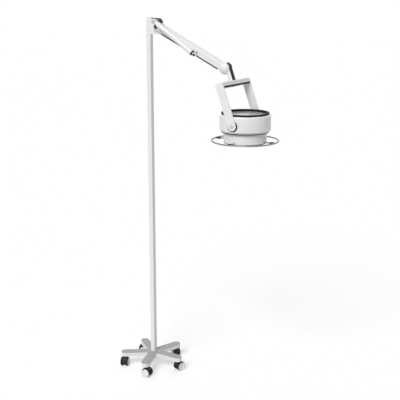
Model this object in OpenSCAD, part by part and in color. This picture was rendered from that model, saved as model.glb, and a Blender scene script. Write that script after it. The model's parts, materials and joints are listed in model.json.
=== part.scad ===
// Mobile surgical light: a five-leg base on twin-wheel casters, a square column,
// a counterbalanced arm with a strut, a ball knuckle, a swivelling yoke and a round lamp head.
// Millimetres. The origin is on the floor under the column's axis, +X is the way the arm
// points, +Z is up. The resting pose is the one with the arm sloping down and the head level.

/* [Column] */
// Height of the column's top above the floor
column_top = 1993; // [1850:1:2100]
// Side of the square column tube
column_w = 26.4; // [25:0.2:30]
// Wall of the column tube
column_wall = 3; // [2:0.5:4]
// Corner radius of the column tube
column_corner = 2; // [1:0.5:3]

/* [Base] */
// Distance from the column's axis to each caster stem
stem_reach = 166; // [150:1:190]
// Width of a leg, with full-round ends
leg_w = 45; // [40:1:50]
// Height of the legs' top face above the floor
base_top = 84; // [80:1:96]
// Depth of the cast legs under their cover
casting_h = 23; // [20:1:25]
// Thickness of the grey top cover
cover_t = 3; // [2:0.5:4]
// Radius of the fillets between the legs
leg_fillet = 9; // [4:1:14]
// Depth of the channels under the legs
channel_depth = 6; // [4:1:10]
// Diameter of the round caps on the leg ends
leg_cap_d = 14; // [12:1:18]

/* [Casters] */
// Wheel diameter
wheel_d = 50; // [46:1:52]
// Width of one wheel
wheel_w = 15.5; // [12:0.5:18]
// Gap between the two wheels of a caster
wheel_gap = 13; // [12:0.5:16]
// Offset of the axle from the stem
trail = 12; // [8:1:20]
// Direction in which the casters point at rest, from square to their legs
caster_yaw = -16; // [-180:1:180]
// Stem diameter
stem_d = 11; // [8:1:12]
// Axle diameter
axle_d = 6; // [5:0.5:8]

/* [Arm] */
// Distance of the arm's root pivot from the column's axis
pivot_x = 58; // [56:1:64]
// Depth of the arm's root pivot under the column's top
pivot_drop = 49; // [46:1:54]
// Length from the root pivot to the knuckle
arm_l = 459; // [420:1:520]
// Slope of the arm at rest, downwards
arm_drop = 25.5; // [20:0.5:30]
// Width of the arm's box section
arm_w = 50; // [48:1:54]
// Height of the arm's box section
arm_h = 38; // [34:1:40]
// Wall of the arm's box section
arm_wall = 3; // [2:0.5:3.5]
// Diameter of the arm's pivot pin
pivot_d = 14; // [10:1:16]
// Depth of the bracket's foot under the column's top
bracket_drop = 87; // [82:1:92]
// Thickness of the bracket's web
bracket_t = 26; // [20:1:26]

/* [Strut] */
// Distance of the strut's upper pivot from the column's axis
stud_x = 60; // [58:1:62]
// Depth of the strut's upper pivot under the column's top
stud_drop = 18; // [17:1:20]
// Distance of the strut's plane from the arm's centre plane
strut_y = 45; // [44:1:48]
// Place of the strut's lower pivot along the arm
ear_x = 287; // [270:1:300]
// Depth of the strut's lower pivot under the arm's axis
ear_drop = 10; // [7:1:14]
// Outer diameter of the strut's cover tube
cover_d = 28; // [26:1:30]
// Wall of the cover tube
cover_wall = 2; // [1:0.5:2.5]
// Outer diameter of the inner cylinder
cylinder_d = 19; // [16:0.5:20]
// Wall of the inner cylinder
cylinder_wall = 1.3; // [1:0.1:1.5]
// Diameter of the piston rod
rod_d = 8; // [6:0.5:8]

/* [Knuckle] */
// Diameter of the ball
ball_d = 66; // [62:1:70]
// Offset of the ball's centre from the swivel axis
ball_offset = 17; // [14:1:18]
// Diameter of the neck
neck_d = 34; // [32:1:38]
// Thickness of the arm's tongue in the ball
tongue_t = 17; // [14:1:20]
// Diameter of the knuckle pin
knuckle_pin_d = 12; // [10:1:14]
// Diameter of the swivel bolt's shank
swivel_d = 14; // [12:1:16]

/* [Yoke] */
// Lean of the yoke from upright, at rest
yoke_lean = 20.35; // [15:0.05:25]
// Distance from the tilt axis up to the ball's centre, along the yoke
yoke_drop = 297; // [292:1:310]
// Distance from the tilt axis to the top of the crossbar
yoke_h = 225; // [220:1:226]
// Width of the plates and of the crossbar
yoke_w = 45; // [40:1:50]
// Thickness of a plate
plate_t = 5; // [4:0.5:6]
// Depth of the crossbar
bar_h = 29; // [26:1:32]
// Wall of the hollow crossbar
bar_wall = 3; // [2:0.5:4]
// Diameter of the tilt pins
tilt_d = 12; // [10:1:14]
// Diameter of the tilt pins' heads
tilt_head_d = 20; // [18:1:24]

/* [Head] */
// Radius of the upper housing
drum_r = 132; // [128:1:136]
// Height of the upper housing's top above the tilt axis
drum_up = 47.8; // [44:0.1:52]
// Depth of the upper housing's floor under the tilt axis
drum_down = 38.7; // [36:0.1:42]
// Radius of the upper housing's shoulder
shoulder_r = 9.5; // [8:0.5:13]
// Chamfer round the foot of the upper housing
foot_chamfer = 8; // [4:1:9]
// Wall of the housings
housing_wall = 2.5; // [2:0.1:3]
// Radius of the lower housing
neck_r = 111.5; // [108:0.5:112]
// Depth of the head's lower face under the tilt axis
head_down = 99.7; // [94:0.1:104]
// Width of the black gasket ring on top
gasket_w = 14.8; // [13:0.1:17]
// Height of the gasket ring above the housing's flat top
gasket_t = 8.5; // [6:0.1:10]
// Thickness of the front glass
glass_t = 4; // [3:0.5:5]
// Radius of the hand ring, to the middle of its rod
ring_r = 171.7; // [165:0.1:178]
// Depth of the hand ring under the tilt axis
ring_down = 89.7; // [88:0.1:91]
// Diameter of the hand ring's rod
ring_d = 8; // [7:0.5:9]
// Diameter of the spokes
spoke_d = 7; // [6:0.5:7]

/* [Fits] */
// Radial clearance of a running fit
run_fit = 0.05; // [0.03:0.01:0.08]
// Radial clearance of a fixed fit
fix_fit = 0.02; // [0.01:0.01:0.03]
// Gap between faces that move past each other
gap = 0.3; // [0.2:0.05:0.4]

/* [Hidden] */
$fn = 64;
CASTERS = [1:5];

coat = "white";
cover_grey = "darkgray";
dark = "dimgray";
steel = "silver";
over = 1; // how far a cutting body passes the face that it cuts

// Base
leg_step = 72;
leg_angles = [0:leg_step:359];
corner_half = leg_step / 2;
corner_reach = leg_w / 2 / sin(corner_half);
fillet_step = 0.05;
casting_top = base_top - cover_t;
casting_under = casting_top - casting_h;
leg_side_t = 9; // the solid sides of a leg, beside its channels
channel_w = leg_w - 2 * leg_side_t;
channel_start = 62;
channel_l = 36;
channel_rib = 6;
socket_wall = 2.5;
socket_r = stem_d / 2 + socket_wall;
socket_flange_r = socket_r + 3;
socket_flange_t = 1.5;
socket_top = casting_top - 1;
socket_roof = 2;
cap_stub_r = leg_cap_d / 2 - 2;
cap_rise = 1.6;
cap_edge = 1;
column_foot = casting_under + 6;
column_play = 0.1; // between the column and its hole in the base
insert_h = 25;
base_bolt_d = 10;
base_washer_r = 20;
base_washer_t = 2.5;
base_bolt_head_d = 18;
base_bolt_head_h = 6;
plug_t = 3;
plug_spigot = 6;
plug_edge = 1.5;
gland_z = 150;
gland_turn = -90; // the gland is on the column's +Y side
gland_d = 12;
gland_nut_d = 18;
gland_nut_t = 5;
gland_reach = 10;
gland_bore_d = 7;
gland_dome_r = 7;

// Casters
wheel_r = wheel_d / 2;
pair_half = wheel_gap / 2 + wheel_w;
web_t = wheel_gap - 3;
web_r = wheel_r - 5;
web_heel = 200; // angles at which the web's outline leaves its disc
web_toe = 45;
hood_top = casting_under - socket_flange_t - gap;
hood_neck_top = hood_top - 4;
hood_boss_r = stem_d / 2 + 4.5;
hood_boss_foot = wheel_r + 12;
wheel_clear = 0.8;
brim_t = 2;
brim_in = wheel_r + wheel_clear + 0.4;
brim_out = brim_in + brim_t;
brim_half = pair_half - 6;
brim_start = 40;
brim_end = 165;
stem_foot = wheel_d - 2;
axle_short = 2.5; // how far the axle ends inside the wheels' outer faces
tread_round = 2;
wheel_rim_t = 5;
wheel_dish = 3;
wheel_hub_r = 9;
wheel_cap_in = 2;
wheel_web_in = 7;

// Arm
pivot_z = column_top - pivot_drop;
knuckle_x = pivot_x + arm_l * cos(arm_drop);
knuckle_z = pivot_z - arm_l * sin(arm_drop);
arm_corner = 4;
arm_lower_corner = 9;
arm_short = 14; // how far the arm's end stops before the ball's centre
fork_depth = 52;
fork_gap = arm_w - 2 * arm_wall;
washer_t = 2.2;
barrel_half = fork_gap / 2 - gap - washer_t;
barrel_r = 20;
pivot_head_r = pivot_d / 2 + 3;
pin_head_t = 2.5;
bracket_foot = column_top - bracket_drop;
bracket_nose = pivot_x + 26;
bracket_chamfer = 5;
bracket_waist = 14; // where the bracket's nose turns back, under the pivot
stud_boss_r = 12;
stud_z = column_top - stud_drop;
bracket_top = column_top - 4;
bracket_brow = 18; // half the length of the slope over the stud
screw_d = 8;
screw_head_d = 13;
screw_head_t = 5;
screw_low = bracket_foot + 12;
screw_high = stud_z + 2;
screw_depth = 20;
screw_socket_w = 6;
screw_socket_depth = 3;
tongue_block_l = 34;
tongue_eye_r = 15;
tongue_h = 18;
tongue_start = arm_l - 36;

// Strut
ear_wx = pivot_x + ear_x * cos(arm_drop) - ear_drop * sin(arm_drop);
ear_wz = pivot_z - ear_x * sin(arm_drop) - ear_drop * cos(arm_drop);
strut_l = norm([ear_wx - stud_x, stud_z - ear_wz]);
strut_slope = atan2(stud_z - ear_wz, ear_wx - stud_x);
eye_r = 13;
eye_half = cylinder_d / 2;
stud_collar_r = 9;
stud_shank_r = 5;
stud_root_r = 5.5;
stud_blind = 1; // how far the stud's hole stops before the middle plane
stud_head_t = 3.5;
foot_eye_r = 8.5;
foot_half = 7;
pin_r = 4;
ear_boss_r = 8;
ear_plate_r = ear_boss_r + 1;
ear_plate_t = 4;
ear_top = 7;
ear_top_half = 5;
pin_root = -arm_w / 2 - ear_plate_t - 2;
cover_start = 32;
cover_stop = 14.5;
foot_plug_l = 16;
cylinder_start = eye_r + 2;
cylinder_l = 163;
foot_shank_r = 6;
foot_collar_t = 1.5;
rod_socket = 3; // how far the rod's socket stays from the foot's collar
rod_back = 180;

// Knuckle and yoke
tilt_x = knuckle_x + ball_offset * cos(yoke_lean) + yoke_drop * sin(yoke_lean);
tilt_z = knuckle_z + ball_offset * sin(yoke_lean) - yoke_drop * cos(yoke_lean);
ball_r = ball_d / 2;
arm_in_yoke = 180 - arm_drop - yoke_lean;
knuckle_up = 50;
knuckle_down = 30;
slot_half = tongue_t / 2 + 0.7;
slot_h = tongue_h + 1;
slot_reach = ball_r + 5;
pin_blind = 26;
plug_start = 27.2;
plug_r = 9;
swivel_bolt_r = swivel_d / 2 - run_fit;
swivel_grip = 30;
swivel_head_r = 11;
swivel_head_t = 9;
swivel_well = swivel_head_t + 4;
plate_in = drum_r + 1.5;
plate_out = plate_in + plate_t;
plate_corner = 7;
bar_edge = 4;
bar_core = 24;
bar_end = 12;
dowel_r = 3;
dowel_x = 11;
dowel_in_plate = 3.5;
dowel_in_bar = 9;
tilt_boss_r = 17;
tilt_inner_r = 12;
tilt_depth = 20;
tilt_head_t = 3;

// Head
spigot_play = 0.1; // round the spigots that join the housings, the bezel and the gasket
rim_t = 8;
gasket_out = drum_r - shoulder_r + 0.5;
gasket_in = gasket_out - gasket_w;
gasket_lip = 2; // the lip that lines the recess and holds the disc down
disc_hole_r = gasket_in + gasket_lip + spigot_play;
top_disc_r = disc_hole_r - 2 * spigot_play;
ledge_r = top_disc_r - 6;
top_disc_t = 3;
disc_recess = 2;
ledge_z = drum_up - disc_recess - top_disc_t;
shoulder_in = 10; // slope of the shoulder's inner side
tilt_boss_in = 5;
neck_in_r = neck_r - housing_wall;
spigot_r = neck_in_r - spigot_play;
spigot_up = 9;
step_h = 3; // height of the inner step between the lower housing and its spigot
bezel_h = 5;
bezel_r = neck_r - 1;
bezel_lip_r = 98;
bezel_lip_t = 3;
bezel_spigot_up = 9;
bezel_spigot_r = neck_in_r - spigot_play;
bezel_bore_r = 105;
glass_r = bezel_bore_r - 0.3;
reflector_t = 1.2;
reflector_mouth_r = 101;
reflector_neck_r = 22;
reflector_top = 18;
reflector_rim_r = bezel_bore_r + 2;
socket_body_r = 16;
lamp_r = 8;
lamp_top = 14;
lamp_stem_r = 4;
lamp_stem_l = 9;
lamp_foot = -20;
seam_w = 1.2;
seam_depth = 0.8;

// Points along an arc, from angle a0 to a1 in n steps
function arc(cx, cy, r, a0, a1, n) =
    [for (i = [0:n]) let (a = a0 + (a1 - a0) * i / n) [cx + r * cos(a), cy + r * sin(a)]];

// A cylinder along Y from y0 to y1
module y_rod(r, y0, y1) {
    translate([0, y0, 0]) rotate([-90, 0, 0]) cylinder(r = r, h = y1 - y0);
}

// A cylinder along X from x0 to x1
module x_rod(r, x0, x1) {
    translate([x0, 0, 0]) rotate([0, 90, 0]) cylinder(r = r, h = x1 - x0);
}

// A cylinder along Z from z0 to z1
module z_rod(r, z0, z1) {
    translate([0, 0, z0]) cylinder(r = r, h = z1 - z0);
}

// A flat outline in the XZ plane, extruded from y0 to y1
module xz_plate(y0, y1) {
    translate([0, y1, 0]) rotate([90, 0, 0]) linear_extrude(y1 - y0) children();
}

// A rectangle round the origin with rounded corners
module round_rect(w, h, r) {
    square([w - 2 * r, h], center = true);
    square([w, h - 2 * r], center = true);
    for (x = [-1, 1]) for (y = [-1, 1])
        translate([x * (w / 2 - r), y * (h / 2 - r)]) circle(r);
}

// Frames: at the arm's root pivot with X along the arm, at the strut's upper pivot with X
// along the strut, and at the tilt axis, leaning with the yoke or level with the head
module at_arm() { translate([pivot_x, 0, pivot_z]) rotate([0, arm_drop, 0]) children(); }
module at_strut() {
    translate([stud_x, -strut_y, stud_z]) rotate([0, strut_slope, 0]) children();
}
module at_yoke() { translate([tilt_x, 0, tilt_z]) rotate([0, -yoke_lean, 0]) children(); }
module at_head() { translate([tilt_x, 0, tilt_z]) children(); }
module at_caster(i) {
    rotate(leg_step * (i - 1)) translate([stem_reach, 0, 0]) rotate(90 + caster_yaw) children();
}
module each_leg() { for (a = leg_angles) rotate(a) children(); }
module each_stem() { each_leg() translate([stem_reach, 0, 0]) children(); }

// ---------------------------------------------------------------- base

// The five-leg outline seen from above: straight-sided legs with round ends, joined by chords
// that the fillet circles hollow out, short of the legs' sides by fillet_step
module star() {
    fillet_start = leg_w / 2 / tan(corner_half) + leg_fillet / tan(corner_half);
    fillet_centre = corner_reach + leg_fillet / sin(corner_half);
    difference() {
        union() {
            polygon([for (a = leg_angles) each [
                for (p = [[fillet_start, -1], [stem_reach, -1], [stem_reach, 1], [fillet_start, 1]])
                    let (x = p[0], y = p[1] * leg_w / 2)
                        [x * cos(a) - y * sin(a), x * sin(a) + y * cos(a)]]]);
            each_stem() circle(d = leg_w);
        }
        each_leg() rotate(corner_half) translate([fillet_centre, 0])
            circle(leg_fillet - fillet_step);
    }
}

module base_casting() color(coat) difference() {
    translate([0, 0, casting_under]) linear_extrude(casting_h) star();
    // socket for the column, and the washer's seat under it
    translate([0, 0, column_foot]) linear_extrude(casting_h)
        square(column_w + 2 * column_play, center = true);
    z_rod(base_bolt_d / 2 + fix_fit, casting_under - over, column_foot + over);
    // stem sockets
    each_stem() z_rod(socket_r + fix_fit, casting_under - over, casting_top + over);
    // channels under the legs, with a cross rib between the two of each leg
    each_leg() for (x = [channel_start, channel_start + channel_l + channel_rib])
        translate([x, -channel_w / 2, casting_under - over])
            cube([channel_l, channel_w, channel_depth + over]);
}

module base_cover() color(cover_grey) difference() {
    translate([0, 0, casting_top]) linear_extrude(cover_t) star();
    translate([0, 0, casting_top - over]) linear_extrude(cover_t + 2 * over)
        square(column_w + 2 * column_play, center = true);
    each_stem() z_rod(cap_stub_r, casting_top - over, base_top + over);
}

module leg_caps() color(coat) each_stem() {
    z_rod(cap_stub_r - fix_fit, casting_top + gap, base_top + cap_edge / 2);
    rotate_extrude() polygon(concat([[0, base_top], [leg_cap_d / 2, base_top]],
        arc(leg_cap_d / 2 - cap_edge, base_top + cap_rise - cap_edge, cap_edge, 0, 90, 4),
        [[0, base_top + cap_rise]]));
}

module stem_sockets() color(dark) each_stem() difference() {
    union() {
        z_rod(socket_r, casting_under - over, socket_top);
        z_rod(socket_flange_r, casting_under - socket_flange_t, casting_under);
    }
    z_rod(stem_d / 2 + fix_fit, casting_under - 2 * socket_flange_t, socket_top - socket_roof);
}

module caster_stems() color(steel) each_stem() {
    z_rod(stem_d / 2, stem_foot, socket_top - socket_roof - gap);
}

// ---------------------------------------------------------------- column

module column() color(coat) difference() {
    translate([0, 0, column_foot])
        linear_extrude(column_top - plug_t - column_foot) difference() {
            round_rect(column_w, column_w, column_corner);
            square(column_w - 2 * column_wall, center = true);
        }
    for (z = [screw_low, screw_high]) translate([0, 0, z])
        x_rod(screw_d / 2 + fix_fit, -column_w, column_w);
    rotate(gland_turn) translate([0, 0, gland_z]) x_rod(gland_d / 2 + fix_fit, -column_w, 0);
}

module column_plug() color(coat) {
    translate([0, 0, column_top - plug_t]) {
        linear_extrude(plug_t - plug_edge) round_rect(column_w, column_w, column_corner);
        linear_extrude(plug_t)
            round_rect(column_w - 2 * plug_edge, column_w - 2 * plug_edge, column_corner);
        translate([0, 0, -plug_spigot]) linear_extrude(plug_spigot)
            square(column_w - 2 * column_wall - 2 * fix_fit, center = true);
    }
}

module column_insert() color(steel) difference() {
    translate([0, 0, column_foot]) linear_extrude(insert_h)
        square(column_w - 2 * column_wall - 2 * fix_fit, center = true);
    z_rod(base_bolt_d / 2 + fix_fit, column_foot - over, column_foot + insert_h + over);
}

module base_bolt() color(steel) {
    z_rod(base_bolt_d / 2, casting_under - base_washer_t, column_foot + insert_h);
    z_rod(base_washer_r, casting_under - base_washer_t, casting_under);
    translate([0, 0, casting_under - base_washer_t - base_bolt_head_h])
        cylinder(d = base_bolt_head_d, h = base_bolt_head_h, $fn = 6);
}

module cable_gland() color(dark) rotate(gland_turn) translate([0, 0, gland_z]) difference() {
    union() {
        x_rod(gland_d / 2, -column_w / 2 - gland_nut_t, -column_w / 2 + column_wall);
        translate([-column_w / 2 - gland_nut_t, 0, 0]) rotate([0, 90, 0])
            cylinder(d = gland_nut_d, h = gland_nut_t, $fn = 6);
        x_rod(gland_dome_r, -column_w / 2 - gland_reach, -column_w / 2 - gland_nut_t);
    }
    x_rod(gland_bore_d / 2, -column_w, 0);
}

// ---------------------------------------------------------------- casters

// The web and the boss of one caster's body, with a brim over the wheels
module caster_hood(i) color(dark) at_caster(i) difference() {
    union() {
        xz_plate(-web_t / 2, web_t / 2) {
            translate([trail, wheel_r]) circle(web_r);
            // from the web's tangents up to the boss and out to the brim
            polygon([[-hood_boss_r + 1, hood_boss_foot],
                     [trail, wheel_r] + web_r * [cos(web_heel), sin(web_heel)],
                     [trail, wheel_r] + web_r * [cos(web_toe), sin(web_toe)],
                     [trail, wheel_r + brim_in + brim_t / 2],
                     [hood_boss_r - 1, hood_neck_top], [-hood_boss_r + 1, hood_neck_top]]);
        }
        z_rod(hood_boss_r, hood_boss_foot, hood_top);
        translate([trail, 0, wheel_r]) rotate([90, 0, 0])
            rotate([0, 0, brim_start]) rotate_extrude(angle = brim_end - brim_start)
                translate([brim_in, -brim_half]) square([brim_out - brim_in, 2 * brim_half]);
    }
    z_rod(stem_d / 2 + run_fit, stem_foot - gap, hood_top + over);
    translate([trail, 0, wheel_r]) y_rod(axle_d / 2 + run_fit, -web_t, web_t);
    // the boss is cut back round the wheels
    for (s = [0, 1]) mirror([0, s, 0]) translate([trail, 0, wheel_r])
        y_rod(wheel_r + wheel_clear, web_t / 2, pair_half + over);
}

module caster_axle(i) color(steel) at_caster(i) translate([trail, 0, wheel_r])
    y_rod(axle_d / 2, -pair_half + axle_short, pair_half - axle_short);

// One wheel's section: radius along X, the outer face at y = 0, the inner face at y = wheel_w
module wheel_section() {
    bore = axle_d / 2 + fix_fit;
    rim_in = wheel_r - wheel_rim_t;
    hub_end = wheel_w - 1;
    polygon(concat(
        [[bore, wheel_cap_in], [wheel_hub_r, wheel_cap_in], [wheel_hub_r + 2, wheel_dish],
         [rim_in - 2, wheel_dish], [rim_in, 0]],
        arc(wheel_r - tread_round, tread_round, tread_round, -90, 0, 4),
        arc(wheel_r - tread_round, wheel_w - tread_round, tread_round, 0, 90, 4),
        [[rim_in + 1, wheel_w], [rim_in - 1, wheel_web_in], [wheel_hub_r, wheel_web_in],
         [wheel_hub_r - 1, hub_end], [bore, hub_end]]));
}

module caster_wheels(i) color("whitesmoke") at_caster(i) translate([trail, 0, wheel_r])
    for (s = [0, 1]) mirror([0, s, 0]) translate([0, -pair_half, 0])
        rotate([-90, 0, 0]) rotate_extrude() wheel_section();

// ---------------------------------------------------------------- bracket and pivot

module arm_bracket() color(coat) difference() {
    union() {
        xz_plate(-bracket_t / 2, bracket_t / 2) {
            polygon([[column_w / 2 + fix_fit, bracket_foot],
                     [bracket_nose - bracket_chamfer, bracket_foot],
                     [bracket_nose, bracket_foot + bracket_chamfer],
                     [bracket_nose, pivot_z - bracket_waist],
                     [stud_x + bracket_brow, stud_z - 5], [stud_x - bracket_brow, bracket_top],
                     [column_w / 2 + fix_fit, bracket_top]]);
        }
        translate([pivot_x, 0, pivot_z]) y_rod(barrel_r, -barrel_half, barrel_half);
        // the stud's boss, on the strut's side only
        translate([stud_x, 0, stud_z]) y_rod(stud_boss_r, -bracket_t / 2, 0);
    }
    translate([pivot_x, 0, pivot_z]) y_rod(pivot_d / 2 + fix_fit, -arm_w, arm_w);
    translate([stud_x, 0, stud_z])
        y_rod(stud_root_r + fix_fit, -bracket_t, -stud_blind);
    for (z = [screw_low, screw_high]) translate([0, 0, z])
        x_rod(screw_d / 2 + fix_fit, 0, column_w / 2 + screw_depth + over);
}

module bracket_screws() color(steel) for (z = [screw_low, screw_high]) translate([0, 0, z]) {
    x_rod(screw_d / 2, -column_w / 2 - 1, column_w / 2 + screw_depth);
    difference() {
        x_rod(screw_head_d / 2, -column_w / 2 - screw_head_t, -column_w / 2);
        translate([-column_w / 2 - screw_head_t - over, 0, 0]) rotate([0, 90, 0])
            cylinder(d = screw_socket_w, h = over + screw_socket_depth, $fn = 6);
    }
}

module arm_pivot_pin() color(steel) translate([pivot_x, 0, pivot_z]) {
    head_in = arm_w / 2 + gap;
    y_rod(pivot_d / 2, -head_in - 1, head_in + 1);
    for (s = [0, 1]) mirror([0, s, 0]) y_rod(pivot_head_r, head_in, head_in + pin_head_t);
}

module pivot_washers() color("tan") translate([pivot_x, 0, pivot_z])
    for (s = [0, 1]) mirror([0, s, 0]) difference() {
        y_rod(barrel_r - 3, barrel_half, barrel_half + washer_t);
        y_rod(pivot_d / 2 + fix_fit, 0, arm_w);
    }

module strut_stud() color(steel) translate([stud_x, 0, stud_z]) {
    y_rod(stud_root_r, -bracket_t / 2 - 1, -stud_blind - gap);
    y_rod(stud_collar_r, -strut_y + eye_half + gap, -bracket_t / 2);
    y_rod(stud_shank_r, -strut_y - eye_half - gap - 1, -bracket_t / 2);
    y_rod(stud_collar_r, -strut_y - eye_half - gap - stud_head_t, -strut_y - eye_half - gap);
}

// ---------------------------------------------------------------- arm

// The arm's section, drawn with its top at +Y; its lower corners are more rounded
module arm_section() {
    w = arm_w / 2;
    h = arm_h / 2;
    for (s = [0, 1]) mirror([s, 0]) {
        translate([w - arm_corner, h - arm_corner]) circle(arm_corner);
        translate([w - arm_lower_corner, -h + arm_lower_corner]) circle(arm_lower_corner);
        polygon([[0, -h], [w - arm_lower_corner, -h], [w, -h + arm_lower_corner],
                 [w, h - arm_corner], [w - arm_corner, h], [0, h]]);
    }
}

module arm_beam() color(coat) at_arm() difference() {
    intersection() {
        translate([-arm_h, 0, 0]) rotate([90, 0, 90]) linear_extrude(arm_l + arm_h - arm_short)
            arm_section();
        xz_plate(-arm_w, arm_w) {
            circle(d = arm_h);
            translate([0, -arm_h / 2]) square([arm_l, arm_h]);
        }
    }
    // the box's inside, and the open fork round the bracket
    translate([0, -fork_gap / 2, -arm_h / 2 + arm_wall])
        cube([arm_l, fork_gap, arm_h - 2 * arm_wall]);
    translate([-arm_h, -fork_gap / 2, -arm_h]) cube([arm_h + fork_depth, fork_gap, 2 * arm_h]);
    y_rod(pivot_d / 2 + run_fit, -arm_w, arm_w);
    // the end is hollowed round the knuckle's ball
    translate([arm_l, 0, 0]) sphere(ball_r + gap);
}

module arm_tongue() color(coat) at_arm() difference() {
    union() {
        translate([tongue_start - tongue_block_l, -fork_gap / 2 + fix_fit,
                   -arm_h / 2 + arm_wall + fix_fit])
            cube([tongue_block_l, fork_gap - 2 * fix_fit, arm_h - 2 * arm_wall - 2 * fix_fit]);
        xz_plate(-tongue_t / 2, tongue_t / 2) {
            translate([tongue_start - 1, -tongue_h / 2])
                square([arm_l - tongue_start + 1, tongue_h]);
            translate([arm_l, 0]) circle(tongue_eye_r);
        }
    }
    translate([arm_l, 0, 0]) y_rod(knuckle_pin_d / 2 + run_fit, -arm_w, arm_w);
}

module strut_ear() color(coat) at_arm() {
    xz_plate(-arm_w / 2 - ear_plate_t, -arm_w / 2) {
        translate([ear_x, -ear_drop]) circle(ear_plate_r);
        polygon([[ear_x - ear_plate_r, -ear_drop], [ear_x + ear_plate_r, -ear_drop],
                 [ear_x + ear_top_half, ear_top], [ear_x - ear_top_half, ear_top]]);
    }
    translate([ear_x, 0, -ear_drop]) difference() {
        y_rod(ear_boss_r, -strut_y + foot_half + gap, -arm_w / 2 - ear_plate_t);
        y_rod(pin_r + fix_fit, -strut_y, pin_root);
    }
}

module strut_pin() color(steel) at_arm() translate([ear_x, 0, -ear_drop]) {
    head_in = -strut_y - foot_half - gap;
    y_rod(pin_r, head_in - 1, pin_root - fix_fit);
    y_rod(pin_r + 2.5, head_in - pin_head_t, head_in);
}

// ---------------------------------------------------------------- strut

module strut_eye() color(steel) at_strut() difference() {
    union() {
        y_rod(eye_r, -eye_half, eye_half);
        x_rod(cylinder_d / 2 - cylinder_wall - fix_fit, 0, cylinder_start + 10);
        x_rod(cylinder_d / 2, 0, cylinder_start);
    }
    y_rod(stud_shank_r + run_fit, -arm_w, arm_w);
}

module strut_cylinder() color(dark) at_strut() difference() {
    x_rod(cylinder_d / 2, cylinder_start, cylinder_start + cylinder_l);
    x_rod(cylinder_d / 2 - cylinder_wall, eye_r, cylinder_start + cylinder_l + over);
}

module strut_foot() color(steel) at_strut() translate([strut_l, 0, 0]) difference() {
    union() {
        y_rod(foot_eye_r, -foot_half, foot_half);
        x_rod(foot_shank_r, -cover_stop - 1, 0);
        x_rod(cover_d / 2 - cover_wall - fix_fit, -cover_stop - foot_plug_l,
              -cover_stop - foot_collar_t);
        x_rod(cover_d / 2 - 1, -cover_stop - foot_collar_t, -cover_stop);
    }
    y_rod(pin_r + run_fit, -arm_w, arm_w);
    x_rod(rod_d / 2 + fix_fit, -cover_stop - foot_plug_l - over, -cover_stop - rod_socket);
}

module strut_rod() color(steel) at_strut() translate([strut_l, 0, 0])
    x_rod(rod_d / 2, -rod_back, -cover_stop - rod_socket - fix_fit);

module strut_cover() color(coat) at_strut() difference() {
    x_rod(cover_d / 2, cover_start, strut_l - cover_stop - foot_collar_t - fix_fit);
    x_rod(cover_d / 2 - cover_wall, cover_start - over, strut_l);
}

// ---------------------------------------------------------------- knuckle

// The pie that the tongue sweeps inside the ball, seen along Y
module tongue_sweep() {
    a0 = arm_in_yoke - knuckle_up;
    a1 = arm_in_yoke + knuckle_down;
    circle(tongue_eye_r + 1);
    for (a = [a0, a1]) rotate(a) translate([0, -slot_h / 2]) square([slot_reach, slot_h]);
    polygon(concat([[0, 0]], arc(0, 0, slot_reach, a0, a1, 4)));
}

module knuckle_ball() color(coat) at_yoke() difference() {
    union() {
        translate([-ball_offset, 0, yoke_drop]) sphere(ball_r);
        z_rod(neck_d / 2, yoke_h + gap, yoke_drop);
        translate([0, 0, yoke_drop]) sphere(neck_d / 2);
    }
    translate([-ball_offset, 0, yoke_drop]) {
        xz_plate(-slot_half, slot_half) tongue_sweep();
        y_rod(knuckle_pin_d / 2 + fix_fit, -pin_blind, ball_r);
        y_rod(plug_r, plug_start, ball_r + over);
    }
    z_rod(swivel_bolt_r + fix_fit, yoke_h - over, yoke_h + gap + swivel_grip);
}

module knuckle_pin() color(steel) at_yoke() translate([-ball_offset, 0, yoke_drop])
    y_rod(knuckle_pin_d / 2, -pin_blind + fix_fit, plug_start - fix_fit);

module knuckle_plug() color(coat) at_yoke() translate([-ball_offset, 0, yoke_drop])
    intersection() {
        sphere(ball_r);
        y_rod(plug_r - fix_fit, plug_start, ball_r + over);
    }

module swivel_bolt() color(steel) at_yoke() {
    well_top = yoke_h - bar_h + swivel_well;
    z_rod(swivel_bolt_r, well_top - gap - 1, yoke_h + swivel_grip);
    translate([0, 0, well_top - gap - swivel_head_t])
        cylinder(r = swivel_head_r, h = swivel_head_t, $fn = 6);
}

// ---------------------------------------------------------------- yoke

// Places of the dowels in the plane of a plate
module each_dowel() {
    for (x = [-dowel_x, dowel_x]) translate([x, 0, yoke_h - bar_h / 2]) children();
}

module yoke_crossbar() color(coat) at_yoke() difference() {
    inner_w = yoke_w - 2 * bar_wall;
    inner_h = bar_h - 2 * bar_wall;
    translate([0, 0, yoke_h - bar_h / 2]) xz_plate(-plate_in, plate_in)
        round_rect(yoke_w, bar_h, bar_edge);
    // hollow between the solid middle and the solid ends
    for (s = [0, 1]) mirror([0, s, 0])
        translate([-inner_w / 2, bar_core, yoke_h - bar_h + bar_wall])
            cube([inner_w, plate_in - bar_end - bar_core, inner_h]);
    z_rod(swivel_d / 2, yoke_h - bar_h - over, yoke_h + over);
    z_rod(swivel_head_r + 2, yoke_h - bar_h - over, yoke_h - bar_h + swivel_well);
    each_dowel() for (s = [0, 1]) mirror([0, s, 0])
        y_rod(dowel_r + fix_fit, plate_in - dowel_in_bar - gap, plate_in + over);
}

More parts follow.
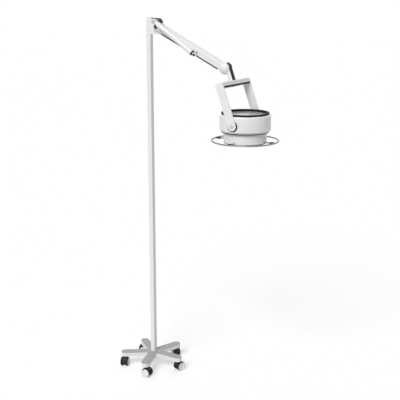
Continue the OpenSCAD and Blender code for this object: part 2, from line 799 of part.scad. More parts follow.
// The plate on the +Y side; the other one is its mirror image
module yoke_plate() {
    difference() {
        xz_plate(plate_in, plate_out) {
            circle(d = yoke_w);
            translate([-yoke_w / 2, 0]) square([yoke_w, yoke_h - plate_corner]);
            translate([-yoke_w / 2 + plate_corner, 0])
                square([yoke_w - 2 * plate_corner, yoke_h]);
            for (x = [-1, 1])
                translate([x * (yoke_w / 2 - plate_corner), yoke_h - plate_corner])
                    circle(plate_corner);
        }
        y_rod(tilt_d / 2 + fix_fit, plate_in - over, plate_out + over);
        each_dowel() y_rod(dowel_r + fix_fit, plate_in - over, plate_in + dowel_in_plate);
    }
}

module yoke_plate_back() color(coat) at_yoke() yoke_plate();
module yoke_plate_front() color(coat) at_yoke() mirror([0, 1, 0]) yoke_plate();

module yoke_dowels() color(steel) at_yoke() each_dowel() for (s = [0, 1]) mirror([0, s, 0])
    y_rod(dowel_r, plate_in - dowel_in_bar, plate_in + dowel_in_plate - gap);

module tilt_pins() color(steel) at_yoke() for (s = [0, 1]) mirror([0, s, 0]) {
    y_rod(tilt_d / 2, plate_in - tilt_depth + gap, plate_out + 1);
    translate([0, plate_out, 0]) rotate([-90, 0, 0]) rotate_extrude()
        polygon(concat([[0, 0], [tilt_head_d / 2, 0]],
            arc(tilt_head_d / 2 - 1, tilt_head_t - 1, 1, 0, 90, 4), [[0, tilt_head_t]]));
}

// ---------------------------------------------------------------- head

module upper_housing() color(coat) at_head() difference() {
    top_in = drum_r - housing_wall;
    floor_in = spigot_r + spigot_play;
    union() {
        rotate_extrude($fn = 128) polygon(concat(
            [[floor_in, -drum_down], [drum_r - foot_chamfer, -drum_down],
             [drum_r, -drum_down + foot_chamfer]],
            arc(drum_r - shoulder_r, drum_up - shoulder_r, shoulder_r, 0, 90, 8),
            [[disc_hole_r, drum_up], [disc_hole_r, ledge_z],
             [ledge_r, ledge_z], [ledge_r, drum_up - rim_t],
             [top_in - shoulder_in, drum_up - rim_t], [top_in, drum_up - rim_t - shoulder_in],
             [top_in, -drum_down + foot_chamfer + 1],
             [drum_r - foot_chamfer - 1, -drum_down + housing_wall],
             [floor_in, -drum_down + housing_wall]]));
        for (s = [0, 1]) mirror([0, s, 0]) {
            y_rod(tilt_boss_r, drum_r - tilt_boss_in, plate_in - gap);
            y_rod(tilt_inner_r, plate_in - tilt_depth, drum_r - 1);
        }
    }
    for (s = [0, 1]) mirror([0, s, 0])
        y_rod(tilt_d / 2 + run_fit, plate_in - tilt_depth - over, plate_in + over);
    // the seams where the housing's two halves meet
    for (s = [-1, 1])
        translate([s * drum_r - seam_depth, -seam_w / 2, -drum_down + foot_chamfer])
            cube([2 * seam_depth, seam_w, drum_down + drum_up - foot_chamfer - shoulder_r]);
}

// A standing ring with a thin lip down inside the recess, on the disc's edge
module top_gasket() color(dark) at_head() rotate_extrude($fn = 128) {
    edge = 1.5;
    lip_out = gasket_in + gasket_lip;
    polygon(concat([[gasket_in, drum_up - disc_recess], [lip_out, drum_up - disc_recess],
                    [lip_out, drum_up], [gasket_out, drum_up]],
        arc(gasket_out - edge, drum_up + gasket_t - edge, edge, 0, 90, 4),
        arc(gasket_in + edge, drum_up + gasket_t - edge, edge, 90, 180, 4)));
}

module top_disc() color(cover_grey) at_head()
    translate([0, 0, ledge_z]) cylinder(r = top_disc_r, h = top_disc_t, $fn = 128);

module lower_housing() color(coat) at_head() difference() {
    rotate_extrude($fn = 128) polygon([
        [spigot_r - housing_wall, -drum_down + spigot_up], [spigot_r, -drum_down + spigot_up],
        [spigot_r, -drum_down], [neck_r, -drum_down], [neck_r, -head_down + bezel_h],
        [neck_in_r, -head_down + bezel_h], [neck_in_r, -drum_down - 2 * step_h],
        [spigot_r - housing_wall, -drum_down - step_h]]);
    for (a = [0:90:359]) rotate(a) translate([0, 0, -ring_down])
        x_rod(spoke_d / 2 + fix_fit, neck_in_r - over, neck_r + over);
}

module front_bezel() color(dark) at_head() rotate_extrude($fn = 128) polygon([
    [bezel_lip_r, -head_down], [bezel_r - 1, -head_down], [bezel_r, -head_down + 1],
    [bezel_r, -head_down + bezel_h], [bezel_spigot_r, -head_down + bezel_h],
    [bezel_spigot_r, -head_down + bezel_h + bezel_spigot_up],
    [bezel_bore_r, -head_down + bezel_h + bezel_spigot_up],
    [bezel_bore_r, -head_down + bezel_lip_t], [bezel_lip_r, -head_down + bezel_lip_t]]);

module front_glass() color("lightcyan", 0.5) at_head()
    translate([0, 0, -head_down + bezel_lip_t]) cylinder(r = glass_r, h = glass_t, $fn = 128);

// A parabolic bowl whose flange lies on the bezel's upper edge
module reflector() color(steel) at_head() {
    flange = -head_down + bezel_h + bezel_spigot_up;
    rise = reflector_top - flange - reflector_t;
    span = pow(reflector_mouth_r, 2) - pow(reflector_neck_r, 2);
    steps = 10;
    bowl = [for (i = [0:steps])
        let (r = reflector_neck_r + (reflector_mouth_r - reflector_neck_r) * i / steps)
        [r, flange + rise * (pow(reflector_mouth_r, 2) - r * r) / span]];
    rotate_extrude($fn = 128) polygon(concat(bowl,
        [[reflector_rim_r, flange], [reflector_rim_r, flange + reflector_t]],
        [for (i = [steps:-1:0]) bowl[i] + [reflector_t, reflector_t]]));
}

module lamp_socket() color("ivory") at_head() difference() {
    z_rod(socket_body_r, lamp_top, ledge_z);
    z_rod(lamp_stem_r + fix_fit, lamp_top - over, lamp_top + lamp_stem_l + 1);
}

module lamp_bulb() color("lightyellow", 0.6) at_head() {
    rotate_extrude() polygon(concat([[0, lamp_top - gap]], [[lamp_r, lamp_top - gap]],
        [[lamp_r, lamp_foot + lamp_r]], arc(0, lamp_foot + lamp_r, lamp_r, 0, -90, 8)));
    z_rod(lamp_stem_r, lamp_top - gap - 1, lamp_top + lamp_stem_l);
}

module hand_ring() color(coat) at_head() translate([0, 0, -ring_down]) {
    rotate_extrude($fn = 128) translate([ring_r, 0]) circle(d = ring_d, $fn = 32);
    for (a = [0:90:359]) rotate(a) x_rod(spoke_d / 2, neck_in_r + fix_fit, ring_r);
}

base_casting();
base_cover();
leg_caps();
stem_sockets();
caster_stems();
column();
column_plug();
column_insert();
base_bolt();
cable_gland();
arm_bracket();
bracket_screws();
arm_pivot_pin();
pivot_washers();
strut_stud();
for (i = CASTERS) {
    caster_hood(i);
    caster_axle(i);
    caster_wheels(i);
}
arm_beam();
arm_tongue();
strut_ear();
strut_pin();
strut_eye();
strut_cylinder();
strut_foot();
strut_rod();
strut_cover();
knuckle_ball();
knuckle_pin();
knuckle_plug();
swivel_bolt();
yoke_crossbar();
yoke_plate_front();
yoke_plate_back();
yoke_dowels();
tilt_pins();
upper_housing();
top_gasket();
top_disc();
lower_housing();
front_bezel();
front_glass();
reflector();
lamp_socket();
lamp_bulb();
hand_ring();
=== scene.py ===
# Looks of the mobile surgical light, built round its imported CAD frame. Metres, in the frame of
# the CAD part: the origin is on the floor under the column, +X is the way the arm points and
# +Z is up.

import json
import math

import bmesh
import bpy
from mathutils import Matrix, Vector


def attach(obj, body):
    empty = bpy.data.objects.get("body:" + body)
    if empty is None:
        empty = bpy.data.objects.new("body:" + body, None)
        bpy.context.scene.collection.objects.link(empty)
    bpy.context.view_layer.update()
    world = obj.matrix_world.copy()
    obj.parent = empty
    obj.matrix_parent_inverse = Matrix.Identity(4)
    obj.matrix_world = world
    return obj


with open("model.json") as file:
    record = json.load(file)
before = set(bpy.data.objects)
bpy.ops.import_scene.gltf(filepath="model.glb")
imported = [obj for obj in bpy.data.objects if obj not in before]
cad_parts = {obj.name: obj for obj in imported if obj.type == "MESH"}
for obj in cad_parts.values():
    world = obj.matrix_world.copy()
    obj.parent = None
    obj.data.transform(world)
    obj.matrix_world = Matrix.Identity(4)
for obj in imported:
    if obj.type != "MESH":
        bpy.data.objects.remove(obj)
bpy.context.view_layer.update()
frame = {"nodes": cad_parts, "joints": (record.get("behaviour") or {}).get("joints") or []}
NODES = frame["nodes"]
PLACES = {joint["name"]: Vector(joint["pos_m"]) for joint in frame["joints"]}
AXES = {joint["name"]: Vector(joint["axis"]).normalized() for joint in frame["joints"]}


# ------------------------------------------------------------------ camera

CAMERA_PLACE = (2.7339, -3.8449, 2.1632)
CAMERA_PITCH = 13.986      # degrees below the horizon
CAMERA_TURN = 32.14        # degrees round the upright axis
SENSOR_WIDTH = 36.0
FOCAL_PER_WIDTH = 866.15 / 400


def make_camera():
    data = bpy.data.cameras.new("camera")
    data.sensor_fit = "HORIZONTAL"
    data.sensor_width = SENSOR_WIDTH
    data.lens = SENSOR_WIDTH * FOCAL_PER_WIDTH
    camera = bpy.data.objects.new("camera", data)
    camera.location = CAMERA_PLACE
    camera.rotation_euler = (math.radians(90 - CAMERA_PITCH), 0, math.radians(CAMERA_TURN))
    bpy.context.scene.collection.objects.link(camera)
    bpy.context.scene.camera = camera


# ------------------------------------------------------------------ materials

class Paint:
    """A node tree round one Principled shader, with short helpers for its texture nodes."""

    def __init__(self, name):
        self.material = bpy.data.materials.new(name)
        self.material.use_nodes = True
        self.tree = self.material.node_tree
        self.shader = self.tree.nodes["Principled BSDF"]
        self.place = self.tree.nodes.new("ShaderNodeTexCoord").outputs["Object"]

    def put(self, **values):
        for name, value in values.items():
            self.shader.inputs[name.replace("_", " ")].default_value = value
        return self

    def link(self, a, b):
        self.tree.links.new(a, b)

    def noise(self, scale, detail=2.0, rough=0.5, stretch=None):
        made = self.tree.nodes.new("ShaderNodeTexNoise")
        made.inputs["Scale"].default_value = scale
        made.inputs["Detail"].default_value = detail
        made.inputs["Roughness"].default_value = rough
        place = self.place
        if stretch:
            mapping = self.tree.nodes.new("ShaderNodeMapping")
            mapping.inputs["Scale"].default_value = stretch
            self.link(place, mapping.inputs["Vector"])
            place = mapping.outputs["Vector"]
        self.link(place, made.inputs["Vector"])
        return made.outputs["Fac"]

    def tones(self, source, color, dim, low, high):
        """The colour, dimmed by a factor where the texture is low and full where it is high."""
        made = self.tree.nodes.new("ShaderNodeValToRGB")
        stops = zip(made.color_ramp.elements, (low, high), (dim, 1.0))
        for element, position, factor in stops:
            element.position = position
            element.color = (*(channel * factor for channel in color), 1.0)
        self.link(source, made.inputs["Fac"])
        self.link(made.outputs["Color"], self.shader.inputs["Base Color"])

    def roughness(self, source, low, high):
        made = self.tree.nodes.new("ShaderNodeMapRange")
        made.inputs["To Min"].default_value = low
        made.inputs["To Max"].default_value = high
        self.link(source, made.inputs["Value"])
        self.link(made.outputs["Result"], self.shader.inputs["Roughness"])

    def bump(self, height, strength, distance):
        made = self.tree.nodes.new("ShaderNodeBump")
        made.inputs["Strength"].default_value = strength
        made.inputs["Distance"].default_value = distance
        self.link(height, made.inputs["Height"])
        self.link(made.outputs["Normal"], self.shader.inputs["Normal"])


def powder_coat(name, color, grain=900.0, rough=(0.36, 0.48)):
    """Powder coat: a fine orange-peel skin with a faint change of tone."""
    p = Paint(name)
    fine = p.noise(grain, detail=4.0, rough=0.55)
    p.tones(p.noise(scale=7.0), color, dim=0.975, low=0.3, high=0.7)
    p.roughness(fine, *rough)
    p.bump(fine, strength=0.1, distance=0.0003)
    return p.put(Coat_Weight=0.12, Coat_Roughness=0.25).material


def moulded(name, color, grain=1500.0, rough=(0.4, 0.55), depth=0.00025, coat=0.0, shine=0.5):
    """Moulded plastic, and rubber, ceramic or milk glass as well, with a fine even grain."""
    p = Paint(name)
    fine = p.noise(grain, rough=0.6)
    p.tones(p.noise(scale=11.0), color, dim=0.95, low=0.35, high=0.65)
    p.roughness(fine, *rough)
    p.bump(fine, strength=0.22, distance=depth)
    p.put(Specular_IOR_Level=shine, Coat_Weight=coat, Coat_Roughness=0.15)
    return p.material


def metal(name, color, rough=(0.22, 0.38)):
    """Turned or brushed metal, with fine marks across the stretched direction."""
    p = Paint(name)
    marks = p.noise(scale=30.0, detail=5.0, rough=0.65, stretch=(40.0, 40.0, 2000.0))
    p.tones(marks, color, dim=0.86, low=0.3, high=0.7)
    p.roughness(marks, *rough)
    p.bump(marks, strength=0.05, distance=0.0001)
    return p.put(Metallic=1.0).material


def clear_glass(name, color):
    """Clear glass, a little uneven in its polish."""
    p = Paint(name)
    p.roughness(p.noise(scale=40.0), low=0.02, high=0.06)
    return p.put(Base_Color=(*color, 1.0), Transmission_Weight=1.0, IOR=1.5).material


WHITE = (0.8, 0.8, 0.795)
WARM_WHITE = (0.79, 0.79, 0.78)
CAP_GREY = (0.4, 0.4, 0.4)
DISC_GREY = (0.34, 0.34, 0.34)
COVER_GREY = (0.33, 0.33, 0.33)
BEZEL_BLACK = (0.05, 0.05, 0.052)
PLASTIC_BLACK = (0.018, 0.018, 0.02)
TREAD_BLACK = (0.016, 0.016, 0.016)
RUBBER_BLACK = (0.01, 0.01, 0.01)
ZINC = (0.62, 0.62, 0.64)
SATIN = (0.3, 0.3, 0.31)
BLACKENED = (0.06, 0.06, 0.065)
MIRROR = (0.85, 0.85, 0.85)
ACETAL = (0.6, 0.5, 0.35)
CERAMIC = (0.8, 0.78, 0.72)
MILK_GLASS = (0.9, 0.88, 0.8)
CLEAR = (0.95, 0.98, 0.99)


def make_materials():
    return {
        "column": powder_coat("column_coat", WHITE),
        "arm": powder_coat("arm_coat", WHITE),
        "housing": moulded("housing_plastic", WHITE, grain=1200.0, rough=(0.3, 0.4),
                           depth=0.0001, coat=0.2),
        "casting": powder_coat("casting_coat", WARM_WHITE, grain=500.0, rough=(0.42, 0.58)),
        "cover": moulded("cover_plastic", COVER_GREY, grain=900.0, rough=(0.5, 0.62),
                         depth=0.0005),
        "cap": moulded("cap_plastic", CAP_GREY),
        "white_plastic": moulded("white_plastic", WHITE),
        # Also the dark of the knuckle's shell and the arm's strip, which are painted shade.
        "dark": moulded("dark_plastic", PLASTIC_BLACK, shine=0.3),
        "steel": metal("zinc_steel", ZINC),
        "disc": moulded("disc_plastic", DISC_GREY, grain=1000.0, rough=(0.14, 0.2),
                        depth=0.00008),
        # Also the black of the tilt pads and the crossbar's strip, which are painted shade, and
        # of the shells' seal, whose black also paints shade.
        "gasket": moulded("gasket_rubber", RUBBER_BLACK, rough=(0.6, 0.75), shine=0.2),
        "wheel": moulded("wheel_nylon", WHITE),
        "tread": moulded("tread_rubber", TREAD_BLACK, grain=700.0, rough=(0.7, 0.85),
                         depth=0.0004, shine=0.25),
        "blackened": metal("blackened_steel", BLACKENED, rough=(0.35, 0.5)),
        "washer": moulded("acetal", ACETAL),
        "bezel": moulded("bezel_plastic", BEZEL_BLACK),
        "ring": metal("satin_ring", SATIN, rough=(0.3, 0.42)),
        "reflector": metal("reflector_metal", MIRROR, rough=(0.24, 0.32)),
        "ceramic": moulded("ceramic", CERAMIC),
        "glass": clear_glass("front_glass", CLEAR),
        "bulb": moulded("bulb_glass", MILK_GLASS, grain=300.0, rough=(0.2, 0.3)),
    }


# The material of each CAD node
FINISH = {
    "base_casting": "casting", "base_cover": "cover", "leg_caps": "cap",
    "stem_sockets": "dark", "caster_stems": "steel", "column": "column",
    "column_plug": "white_plastic", "column_insert": "steel", "base_bolt": "steel",
    "cable_gland": "dark", "arm_bracket": "arm", "bracket_screws": "steel",
    "arm_pivot_pin": "blackened", "pivot_washers": "washer", "strut_stud": "steel",
    "arm_beam": "arm", "arm_tongue": "arm", "strut_ear": "arm", "strut_pin": "blackened",
    "strut_eye": "arm", "strut_cylinder": "arm", "strut_foot": "arm",
    "strut_rod": "steel", "strut_cover": "arm", "knuckle_ball": "arm",
    "knuckle_pin": "steel", "knuckle_plug": "white_plastic", "swivel_bolt": "steel",
    "yoke_crossbar": "arm", "yoke_plate_front": "arm", "yoke_plate_back": "arm",
    "yoke_dowels": "steel", "tilt_pins": "steel", "upper_housing": "housing",
    "top_gasket": "gasket", "top_disc": "disc", "lower_housing": "housing",
    "front_bezel": "bezel", "front_glass": "glass", "reflector": "reflector",
    "lamp_socket": "ceramic", "lamp_bulb": "bulb", "hand_ring": "ring",
}
CASTERS = range(1, 6)
for number in CASTERS:
    FINISH[f"caster_{number}_hood"] = "dark"
    FINISH[f"caster_{number}_axle"] = "steel"
    FINISH[f"caster_{number}_wheels"] = "wheel"

TREAD_DEPTH = 0.0045       # the tyre's depth under the wheel's rim


def dress_nodes(materials):
    for name, node in NODES.items():
        node.data.materials.clear()
        node.data.materials.append(materials[FINISH[name]])
    for number in CASTERS:
        dress_tyres(number, materials["tread"])


def dress_tyres(number, tread):
    """The outer stretch of each wheel is its black tyre, the middle is white."""
    mesh = NODES[f"caster_{number}_wheels"].data
    mesh.materials.append(tread)
    joint = f"wheels_{number}_roll"
    middle, axis = PLACES[joint], AXES[joint]
    for face in mesh.polygons:
        reach = [mesh.vertices[v].co - middle for v in face.vertices]
        radii = [(r - axis * r.dot(axis)).length for r in reach]
        face.material_index = int(min(radii) > middle.z - TREAD_DEPTH)


# ------------------------------------------------------------------ forms

MM = 0.001                 # the pieces' sizes are in millimetres
ROUND_STEPS = 48
SMALL_STEPS = 24
LARGE_STEPS = 128
WELD = 1e-6                # points nearer than this, in metres, become one


def make_piece(name, form, material, body):
    """Links a form as a piece of the object, on a CAD body."""
    bmesh.ops.remove_doubles(form, verts=form.verts, dist=WELD)
    bmesh.ops.recalc_face_normals(form, faces=form.faces)
    mesh = bpy.data.meshes.new(name)
    form.to_mesh(mesh)
    form.free()
    mesh.materials.append(material)
    piece = bpy.data.objects.new(name, mesh)
    bpy.context.scene.collection.objects.link(piece)
    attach(piece, body)


def skinned(rows, ring=False):
    """A form of quads between rows of points, each row a closed outline.

    A ring of rows closes on itself, and any other set of rows gets a face at each end.
    """
    form = bmesh.new()
    rows = [[form.verts.new(point) for point in row] for row in rows]
    following = rows[1:] + rows[:1] if ring else rows[1:]
    for a, b in zip(rows, following):
        for k in range(len(a)):
            n = (k + 1) % len(a)
            form.faces.new((a[k], a[n], b[n], b[k]))
    if not ring:
        form.faces.new(rows[0])
        form.faces.new(rows[-1])
    return form


def turned(profile, place, axis, steps=ROUND_STEPS):
    """A form turned from a closed outline of (radius, height) points round an axis."""
    axis = Vector(axis).normalized()
    side = axis.orthogonal().normalized()
    other = axis.cross(side)
    rows = []
    for step in range(steps):
        angle = math.tau * step / steps
        out = side * math.cos(angle) + other * math.sin(angle)
        rows.append([place + (out * r + axis * h) * MM for r, h in profile])
    return skinned(rows, ring=True)


def sideways(y):
    return Vector((0, y * MM, 0))


# ------------------------------------------------------------------ the CAD part's sizes

EAR_FACE = 29.0            # from the middle plane to the outer face of the ear's plate
STUD_BOSS_R = 12.0
COVER_STOP = 14.5          # from the strut's lower pivot to the collar at its cover tube
COVER_R = 14.0
SHANK_R = 6.0              # the shank between that pivot and the collar
BALL_R = 33.0
BALL_OFFSET = 17.0         # from the neck's axis to the ball's centre
BALL_UP = 297.0            # the ball's centre over the tilt axis, along the yoke
NECK_R = 17.0
YOKE_H = 225.0             # the crossbar's top over the tilt axis
YOKE_W = 45.0
BAR_H = 29.0
PLATE_IN = 133.5           # from the head's middle to the inner face of a yoke plate
DRUM_R = 132.0
DRUM_DOWN = 38.7           # the upper shell's floor under the tilt axis
NECK_SHELL_R = 111.5
RING_R = 171.7
RING_DOWN = 89.7           # the hand ring under the tilt axis


def arm_frame():
    """The arm's root, the direction along it and the one up from its top face."""
    root = PLACES["arm_pitch"]
    along = (PLACES["knuckle_pitch"] - root).normalized()
    return root, along, along.cross(Vector((0, 1, 0)))


def yoke_frame():
    """The tilt axis' middle, and the yoke's own directions across (X) and upwards (Z)."""
    up = AXES["yoke_swivel"]
    return PLACES["head_tilt"], Vector((0, 1, 0)).cross(up), up


# ------------------------------------------------------------------ trims of the head; the tilt pads and the seal's black are painted shade

PAD_IN = DRUM_R + 0.15     # from the head's middle to a pad's inner face
PAD_T = 1.15
PAD_BORE_R = 17.2
PAD_R = 28.0

COLLAR_R = 5.8
COLLAR_L = 27.0
COLLAR_OUT = 0.5           # the collar's end inside the hand ring's middle line
COLLAR_NOSE = (2.0, 3.0)   # the bevel at the ring, across and along
COLLAR_TAIL = (1.6, 3.0)   # the bevel at the spoke

SEAL_R = 123.7
SEAL_H = 4.4
SEAL_UP = 0.3              # how far it is let into the upper shell
SEAL_IN = 0.5              # how far it is let into the lower shell
SEAL_BEVEL = 0.8


def make_tilt_shade_pads(material):
    """Black rings round the tilt bosses, between the yoke's plates and the head: painted shade
    round the plates' round ends.
    """
    for name, side in (("tilt_shade_pad_front", -1), ("tilt_shade_pad_back", 1)):
        near, far = PAD_IN * side, (PAD_IN + PAD_T) * side
        profile = [(PAD_BORE_R, near), (PAD_R, near), (PAD_R, far), (PAD_BORE_R, far)]
        form = turned(profile, PLACES["head_tilt"], (0, 1, 0))
        make_piece(name, form, material, "head")


def make_spoke_collars(material):
    """The black collars that clamp the spokes' ends to the hand ring."""
    centre = PLACES["head_tilt"] - Vector((0, 0, RING_DOWN * MM))
    near, far = RING_R - COLLAR_L, RING_R - COLLAR_OUT
    profile = [(0, far), (COLLAR_R - COLLAR_NOSE[0], far), (COLLAR_R, far - COLLAR_NOSE[1]),
               (COLLAR_R, near + COLLAR_TAIL[1]), (COLLAR_R - COLLAR_TAIL[0], near), (0, near)]
    for quarter in range(4):
        angle = math.tau * quarter / 4
        out = Vector((math.cos(angle), math.sin(angle), 0))
        form = turned(profile, centre, out, SMALL_STEPS)
        make_piece(f"spoke_collar_{quarter + 1}", form, material, "head")


def make_housing_seal_and_shade(material):
    """The black seal between the head's upper and lower shells; its black also paints the shade
    in the step between them.
    """
    inner = NECK_SHELL_R - SEAL_IN
    high, low = -DRUM_DOWN + SEAL_UP, -DRUM_DOWN - SEAL_H
    profile = [(inner, high), (SEAL_R, high), (SEAL_R, low + SEAL_BEVEL),
               (SEAL_R - SEAL_BEVEL, low), (inner, low)]
    form = turned(profile, PLACES["head_tilt"], (0, 0, 1), LARGE_STEPS)
    make_piece("housing_seal_and_shade", form, material, "head")


# ------------------------------------------------------------------ painted shade: dark pieces on the knuckle and the yoke

BACK_START = 44.0          # degrees up the ball at which the knuckle's shell starts
BACK_BLEND = 0.35          # the share of the ball's radius at which it goes over to the neck
BACK_T = 1.7               # how far it stands out
BACK_SINK = 0.6            # how far it is let in
BACK_HALF = 13.5           # half its width
BACK_FOOT = 0.6            # its foot over the crossbar
BALL_STEPS = 10
NECK_STEPS = 5
SIDE_STEPS = 6

TRIM_T = 0.9
TRIM_SINK = 0.3            # how far the crossbar's trim is let in
TRIM_W = 7.0               # its reach under the crossbar
TRIM_H = 7.0               # its reach up the crossbar's face
TRIM_BEVEL = 3.0
TRIM_BEND = 3.5            # from the crossbar's edge to where the trim bends
TRIM_GAP = 0.2             # between its ends and the yoke's plates


def make_knuckle_shade_shell(material):
    """A dark shell down the outer side of the ball and the neck: painted shade along that side.
    """
    place, across, up = yoke_frame()
    centre = place + up * BALL_UP * MM
    neck_foot = -(BALL_UP - YOKE_H) + BACK_FOOT
    path = []
    for step in range(BALL_STEPS + 1):
        angle = math.radians(BACK_START * (1 - step / BALL_STEPS))
        out_x, out_z = math.cos(angle), math.sin(angle)
        x = BALL_R * out_x - BALL_OFFSET
        if out_z < BACK_BLEND:
            x = max(x, NECK_R)
        path.append((x, BALL_R * out_z, out_x, out_z, BALL_R))
    for step in range(1, NECK_STEPS + 1):
        path.append((NECK_R, neck_foot * (step / NECK_STEPS), 1.0, 0.0, NECK_R))
    rows = []
    for x, z, out_x, out_z, radius in path:
        row = []
        for lift, order in ((BACK_T, 1), (-BACK_SINK, -1)):
            for k in range(-SIDE_STEPS, SIDE_STEPS + 1):
                angle = order * k / SIDE_STEPS * math.asin(BACK_HALF / radius)
                drop = radius * (1 - math.cos(angle)) - lift
                point = across * (x - out_x * drop) + up * (z - out_z * drop)
                row.append(centre + point * MM + sideways(radius * math.sin(angle)))
        rows.append(row)
    make_piece("knuckle_shade_shell", skinned(rows), material, "knuckle")


def make_crossbar_shade_strip(material):
    """A black strip along the lower front edge of the yoke's crossbar: painted shade under that
    edge.
    """
    place, across, up = yoke_frame()
    x, z = YOKE_W / 2, YOKE_H - BAR_H
    outline = [(x - TRIM_W, z + TRIM_SINK), (x - TRIM_W, z - TRIM_T),
               (x - TRIM_BEVEL, z - TRIM_T), (x + TRIM_T, z + TRIM_BEND),
               (x + TRIM_T, z + TRIM_H), (x - TRIM_SINK, z + TRIM_H),
               (x - TRIM_SINK, z + TRIM_BEND), (x - TRIM_BEND, z + TRIM_SINK)]
    rows = []
    for y in (-PLATE_IN + TRIM_GAP, PLATE_IN - TRIM_GAP):
        rows.append([place + (across * px + up * pz) * MM + sideways(y) for px, pz in outline])
    make_piece("crossbar_shade_strip", skinned(rows), material, "yoke")


# ------------------------------------------------------------------ trims of the arm and strut, and a strip of painted shade along the arm

STRIP_R = 5.0
STRIP_DOWN = 17.3          # its middle line under the arm's axis
STRIP_SIDE = -20.0         # its middle line from the arm's middle plane
STRIP_START = 44.0         # from the arm's root pivot
STRIP_END = 428.0
RIB_STEP = 4.0
RIB_DEPTH = 0.9
# Along one rib: the share of its step, and how deep the strip's skin lies there
RIB_SHAPE = ((0.0, RIB_DEPTH), (0.25, 0.0), (0.65, 0.0), (0.9, RIB_DEPTH))

SCREW_ALONG = 287.0        # the ear's screw, from the arm's root pivot
SCREW_UP = 2.6             # over the arm's axis
SCREW_R = 3.4
SCREW_H = 2.4
SCREW_ROOT = 1.0           # how far it is let into the ear
SCREW_BEVEL = 0.6
SOCKET_R = 1.6
SOCKET_DEPTH = 1.4

BUSH_T = 0.8
BUSH_L = 4.5               # its sleeve over the cover tube
BUSH_FIT = 0.05            # between it and the tube
BUSH_BORE = SHANK_R + 0.2  # its bore's radius


def make_arm_shade_strip(material):
    """A ribbed dark strip along the arm's lower near corner: painted shade on the arm's lower
    edge.
    """
    root, along, up = arm_frame()
    centre = root + sideways(STRIP_SIDE) - up * STRIP_DOWN * MM
    count = round((STRIP_END - STRIP_START) / RIB_STEP)
    profile = [(0, STRIP_START)]
    for rib in range(count):
        start = STRIP_START + rib * RIB_STEP
        profile += [(STRIP_R - depth, start + RIB_STEP * share) for share, depth in RIB_SHAPE]
    profile.append((0, STRIP_START + count * RIB_STEP))
    form = turned(profile, centre, along, SMALL_STEPS)
    make_piece("arm_shade_strip", form, material, "arm")


def make_ear_screw(material):
    """The black screw that holds the strut's ear on the arm's side, over the pin."""
    root, along, up = arm_frame()
    place = root + (along * SCREW_ALONG + up * SCREW_UP) * MM
    foot, top = EAR_FACE - SCREW_ROOT, EAR_FACE + SCREW_H
    profile = [(0, foot), (SCREW_R, foot), (SCREW_R, top - SCREW_BEVEL),
               (SCREW_R - SCREW_BEVEL, top), (SOCKET_R, top), (SOCKET_R, top - SOCKET_DEPTH),
               (0, top - SOCKET_DEPTH)]
    form = turned(profile, place, (0, -1, 0), SMALL_STEPS)
    make_piece("ear_screw", form, material, "arm")


def make_strut_bush(material):
    """The black bush at the lower end of the strut's cover tube."""
    foot = PLACES["strut_lower_pivot"]
    back = (PLACES["strut_upper_pivot"] - foot).normalized()
    near, far = COVER_STOP - BUSH_T, COVER_STOP + BUSH_L
    seat = COVER_STOP - BUSH_FIT
    profile = [(BUSH_BORE, near), (COVER_R - BUSH_T, near), (COVER_R + BUSH_T, near + BUSH_T),
               (COVER_R + BUSH_T, far), (COVER_R + BUSH_FIT, far), (COVER_R + BUSH_FIT, seat),
               (BUSH_BORE, seat)]
    make_piece("strut_bush", turned(profile, foot, back), material, "strut_lower")


# ------------------------------------------------------------------ cap of the column's bracket

# Its path down the bracket, in the stud's frame: places along X and Z, and the degrees above +X
# at which the surface faces there. Between the two stretches it goes round the stud's boss.
CAP_BEFORE = ((-35.0, 14.0, 90.0), (-18.0, 14.0, 87.0))
CAP_ARC = (83.9, 34.5)
CAP_ARC_STEPS = 6
CAP_AFTER = ((18.0, -5.0, 22.0), (18.75, -10.0, 8.5))
CAP_HALF = 13.15           # half the width inside it
CAP_T = 1.1
CAP_GAP = 0.2              # under its skin
CAP_SKIRT = 2.6            # its reach down the bracket's sides


def make_bracket_cap(material):
    """The black cap clipped over the bracket's top and its front slope, round the stud's boss."""
    stud = PLACES["strut_upper_pivot"]
    middle = Vector((stud.x, 0, stud.z))
    path = list(CAP_BEFORE)
    for step in range(CAP_ARC_STEPS + 1):
        degrees = CAP_ARC[0] + (CAP_ARC[1] - CAP_ARC[0]) * step / CAP_ARC_STEPS
        angle = math.radians(degrees)
        path.append((STUD_BOSS_R * math.cos(angle), STUD_BOSS_R * math.sin(angle), degrees))
    path += CAP_AFTER
    inner, outer = CAP_HALF, CAP_HALF + CAP_T
    outline = [(-outer, CAP_T), (outer, CAP_T), (outer, -CAP_SKIRT), (inner, -CAP_SKIRT),
               (inner, CAP_GAP), (-inner, CAP_GAP), (-inner, -CAP_SKIRT), (-outer, -CAP_SKIRT)]
    rows = []
    for x, z, degrees in path:
        angle = math.radians(degrees)
        out = Vector((math.cos(angle), 0, math.sin(angle)))
        rows.append([middle + (Vector((x, y, z)) + out * lift) * MM for y, lift in outline])
    make_piece("bracket_cap", skinned(rows), material, "stand")


# ------------------------------------------------------------------ stage and light

FLOOR_SIZE = 60.0          # metres
FLOOR_TONE = 0.6           # how pale the floor is for light that falls on it
FLOOR_GLOW = 0.38          # what lifts the lit floor to white where it is looked at
SKY_LIGHT = 0.36           # the world's light on the object
WHITE_SKY = 1.0            # the world where it is looked at
# Each lamp is a wide sun: power, degrees from +X, degrees above the horizon, degrees of spread
KEY = (2.3, -84.0, 44.0, 28.0)
BACK_FILL = (0.9, 128.0, 34.0, 60.0)


def looked_at(tree):
    """1 where a ray from the camera, a reflection or a clear piece meets the surface."""
    paths = tree.nodes.new("ShaderNodeLightPath")
    total = paths.outputs["Is Camera Ray"]
    for name in ("Is Glossy Ray", "Is Transmission Ray"):
        larger = tree.nodes.new("ShaderNodeMath")
        larger.operation = "MAXIMUM"
        tree.links.new(total, larger.inputs[0])
        tree.links.new(paths.outputs[name], larger.inputs[1])
        total = larger.outputs[0]
    return total


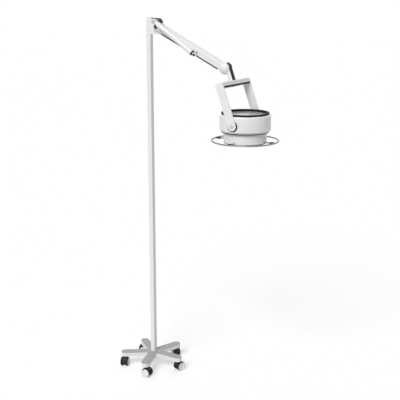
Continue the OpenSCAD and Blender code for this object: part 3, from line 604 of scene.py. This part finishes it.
def make_floor():
    mesh = bpy.data.meshes.new("floor")
    form = bmesh.new()
    bmesh.ops.create_grid(form, x_segments=1, y_segments=1, size=FLOOR_SIZE / 2)
    form.to_mesh(mesh)
    form.free()
    floor = bpy.data.objects.new("floor", mesh)
    bpy.context.scene.collection.objects.link(floor)
    p = Paint("floor_paper")
    p.put(Base_Color=(FLOOR_TONE, FLOOR_TONE, FLOOR_TONE, 1.0), Roughness=0.9,
          Specular_IOR_Level=0.0)
    glow = p.tree.nodes.new("ShaderNodeEmission")
    power = p.tree.nodes.new("ShaderNodeMath")
    power.operation = "MULTIPLY"
    p.link(looked_at(p.tree), power.inputs[0])
    power.inputs[1].default_value = FLOOR_GLOW
    p.link(power.outputs[0], glow.inputs["Strength"])
    both = p.tree.nodes.new("ShaderNodeAddShader")
    p.link(p.shader.outputs[0], both.inputs[0])
    p.link(glow.outputs[0], both.inputs[1])
    p.link(both.outputs[0], p.tree.nodes["Material Output"].inputs["Surface"])
    mesh.materials.append(p.material)


def make_world():
    world = bpy.data.worlds.new("studio")
    bpy.context.scene.world = world
    world.use_nodes = True
    tree = world.node_tree
    tree.nodes.clear()
    both = tree.nodes.new("ShaderNodeMixShader")
    tree.links.new(looked_at(tree), both.inputs[0])
    for strength, socket in ((SKY_LIGHT, both.inputs[1]), (WHITE_SKY, both.inputs[2])):
        background = tree.nodes.new("ShaderNodeBackground")
        background.inputs["Color"].default_value = (1.0, 1.0, 1.0, 1.0)
        background.inputs["Strength"].default_value = strength
        tree.links.new(background.outputs[0], socket)
    out = tree.nodes.new("ShaderNodeOutputWorld")
    tree.links.new(both.outputs[0], out.inputs["Surface"])


def make_lamp(name, power, azimuth, height, spread, plain=False):
    """A sun; a plain one only fills in the shade, with no shadow and no glint of its own."""
    data = bpy.data.lights.new(name, "SUN")
    data.energy = power
    data.angle = math.radians(spread)
    data.use_shadow = not plain
    lamp = bpy.data.objects.new(name, data)
    lamp.visible_glossy = not plain
    lamp.rotation_euler = (math.radians(90 - height), 0, math.radians(azimuth + 90))
    bpy.context.scene.collection.objects.link(lamp)


make_camera()
make_floor()
make_world()
make_lamp("key", *KEY)
make_lamp("back_fill", *BACK_FILL, plain=True)
materials = make_materials()
dress_nodes(materials)
# The tilt pads, the knuckle's shell, the crossbar's strip and the arm's strip are painted shade,
# and the seal's black paints shade too.
make_tilt_shade_pads(materials["gasket"])
make_spoke_collars(materials["dark"])
make_knuckle_shade_shell(materials["dark"])
make_crossbar_shade_strip(materials["gasket"])
make_arm_shade_strip(materials["dark"])
make_ear_screw(materials["blackened"])
make_strut_bush(materials["dark"])
make_bracket_cap(materials["dark"])
make_housing_seal_and_shade(materials["gasket"])

bpy.context.scene.view_settings.view_transform = "Standard"
